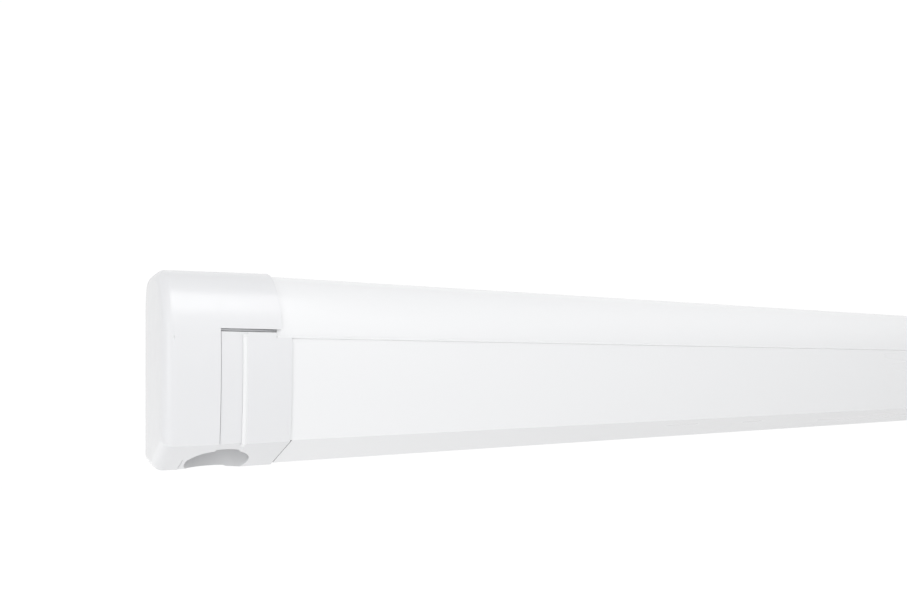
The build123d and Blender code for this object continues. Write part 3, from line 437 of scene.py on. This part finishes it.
def on_skin(share, out):
    """A (y, z) of the section grown by out: share 0 is the cap's top, 1 the crease, 2 the bevel's end."""
    low = (crease[0] - out, crease[1] - out * crease_half_tan)
    if share > 1:
        end = (bevel_end[0] - out * bevel_half_tan, bevel_end[1] - out)
        return tuple(between(a, b, share - 1) for a, b in zip(low, end))
    z = between(cap_top, low[1], share)
    up = min(1.0, (z - low[1]) / (face_top[1] - low[1]))
    straight = between(low[0], face_top[0] - out, up)
    return (straight - parabola_scale * face_bulge * up * (1 - up), z)


def skin_strip(name, shares, profile, finish, body):
    """On both ends, a strip that follows the rail's skin, from a profile of (x, out) points."""
    for side, sign in (("left", 1), ("right", -1)):
        rings = [[(sign * x, *on_skin(t, out)) for x, out in profile] for t in shares]
        closed_strip(f"{side}_{name}", rings, finish, body, turned=sign > 0)


# The bright edge of the rail cap's step, over its stepped-back strip and its main face.
strip_out, main_out = 0.00030, 0.00130
step_x, shoulder_x, crown_x, end_x, heel_x = -1.2438, -1.2420, -1.2413, -1.2398, -1.2410
edge_low, edge_high, edge_crown, edge_sunk = 0.0004, 0.0007, 0.0004, -0.0002
edge_top, edge_bottom = [0.02, 0.045, 0.07], [1.06, 1.1]
edge_from, edge_rows = 0.1, 14
skin_strip(
    "cap_step",
    edge_top + [between(edge_from, 1, k / edge_rows) for k in range(edge_rows + 1)] + edge_bottom,
    [
        (step_x, strip_out + edge_low),
        (step_x, strip_out + edge_high),
        (shoulder_x, main_out + edge_crown),
        (crown_x, main_out + edge_crown),
        (end_x, main_out + edge_sunk),
        (heel_x, strip_out),
    ],
    "profile_paint",
    "front_rail",
)

# The thin joint between the rail cap and the rail, on the bevel.
joint_outer, joint_inner = -1.2066, -1.2050
joint_profile = [
    (joint_outer, 0.0001),
    (joint_outer, 0.0004),
    (joint_inner, 0.0003),
    (joint_inner, -0.0002),
]
joint_from, joint_to, joint_rows = 1.0, 1.96, 6
skin_strip(
    "cap_joint",
    [between(joint_from, joint_to, k / joint_rows) for k in range(joint_rows + 1)],
    joint_profile,
    "rubber",
    "front_rail",
)

floor_z, floor_half = -2.29, 16.0
# Painted light on the floor: from floor_near to floor_far along y its colour lightens and its painted
# glow grows between the two glow strengths below.
floor_near, floor_far = 1.0, 4.0
painted_glow_near, painted_glow_far = 0.06, 0.4


def make_floor():
    """A plain pale floor with painted light: it glows, and behind the awning its colour is lighter and
    its glow stronger.
    """
    f = Finish("pale_floor", colour=(0.9, 0.9, 0.9), roughness=0.8, specular=0.2)
    split = f.node("ShaderNodeSeparateXYZ", {0: f.place()})
    # Painted light: behind the awning the floor's colour is lighter and it glows more, though it is no
    # lamp; the mottle is random tone.
    far = f.remap(split.outputs["Y"], floor_near, floor_far, to_low=0, to_high=1)
    mottle = f.spread(f.noise(size=1.5, detail=fine), to_low=0.985, to_high=1)
    f.shade(f.math("MULTIPLY", far, mottle), darker=0.96, lighter=1.06)
    glow = f.remap(far, 0, 1, painted_glow_near, painted_glow_far)
    f.tree.links.new(glow, f.shader.inputs["Emission Strength"])
    f.set(Emission_Color=(1, 1, 1, 1))
    h = floor_half
    corners = [(-h, -h, floor_z), (h, -h, floor_z), (h, h, floor_z), (-h, h, floor_z)]
    piece = new_piece("floor", corners, [(0, 1, 2, 3)], f.mat)


def make_world():
    """A white studio, dimmer low in front and overhead, that the camera sees as plain white."""
    world = bpy.data.worlds.new("studio")
    world.use_nodes = True
    tree = world.node_tree
    tree.nodes.clear()

    def ramp(axis, low, high, to_low, to_high):
        value = split.outputs[axis]
        kind = {"interpolation_type": "SMOOTHSTEP"}
        return map_range(tree, value, low, high, to_low, to_high, **kind)

    def mixed(factor, a, b):
        inputs = {0: factor, 2: a, 3: b}
        return add_node(tree, "ShaderNodeMix", inputs, data_type="FLOAT").outputs[0]

    toward = add_node(tree, "ShaderNodeTexCoord").outputs["Generated"]
    split = add_node(tree, "ShaderNodeSeparateXYZ", {0: toward})
    front = ramp("Z", low=-0.05, high=0.6, to_low=0.68, to_high=0.92)
    overhead = ramp("Z", low=0.5, high=0.95, to_low=1.0, to_high=0.6)
    behind = ramp("Y", low=-0.1, high=0.42, to_low=0.0, to_high=1.0)
    around = mixed(behind, front, 0.95)
    level = add_node(tree, "ShaderNodeMath", {0: around, 1: overhead}, operation="MULTIPLY")
    seen = add_node(tree, "ShaderNodeLightPath").outputs["Is Camera Ray"]
    shown = mixed(seen, level.outputs[0], 1.02)
    glow = add_node(tree, "ShaderNodeBackground", {0: (1, 1, 1, 1), 1: shown})
    out = add_node(tree, "ShaderNodeOutputWorld")
    tree.links.new(glow.outputs[0], out.inputs[0])
    bpy.context.scene.world = world


def soft_light(name, at, target, size, power):
    data = bpy.data.lights.new(name, "AREA")
    data.shape = "SQUARE"
    data.size = size
    data.energy = power
    lamp = bpy.data.objects.new(name, data)
    bpy.context.collection.objects.link(lamp)
    lamp.location = at
    away = [t - a for t, a in zip(target, at)]
    tilt = math.acos(-away[2] / math.dist(at, target))
    lamp.rotation_euler = (tilt, 0, math.atan2(-away[0], away[1]))
    lamp.visible_camera = False


make_floor()
make_world()
soft_light("key", at=(-1.15, -1.15, 1.4), target=(-1.1, 0, 0), size=1.0, power=9.0)
soft_light("front", at=(-0.65, -2.0, 0.7), target=(-1.15, -0.1, 0), size=1.4, power=3.0)
soft_light("edge", at=(-2.5, -1.1, 0.15), target=(-1.3, 0, 0), size=0.7, power=2.0)
soft_light("under", at=(-2.1, -0.9, -0.8), target=(-1.2, 0, 0), size=0.5, power=1.5)
soft_light("low", at=(-1.6, -0.4, -0.75), target=(-1.22, -0.06, -0.07), size=0.4, power=1.2)

# The camera that fits the photograph: level, turned to the awning's right.
photo_width = 907
horizon_below_centre = 66
focal_pixels = 780
sensor_width = 36
camera_turn = math.radians(31.6)

lens = bpy.data.cameras.new("camera")
lens.sensor_width = sensor_width
lens.lens = focal_pixels / photo_width * sensor_width
lens.shift_y = horizon_below_centre / photo_width
lens.clip_start = 0.01
camera = bpy.data.objects.new("camera", lens)
bpy.context.collection.objects.link(camera)
camera.location = (-1.4125, -0.678, 0.0039)
camera.rotation_euler = (math.pi / 2, 0, -camera_turn)
bpy.context.scene.camera = camera
bpy.context.scene.view_settings.view_transform = "Standard"
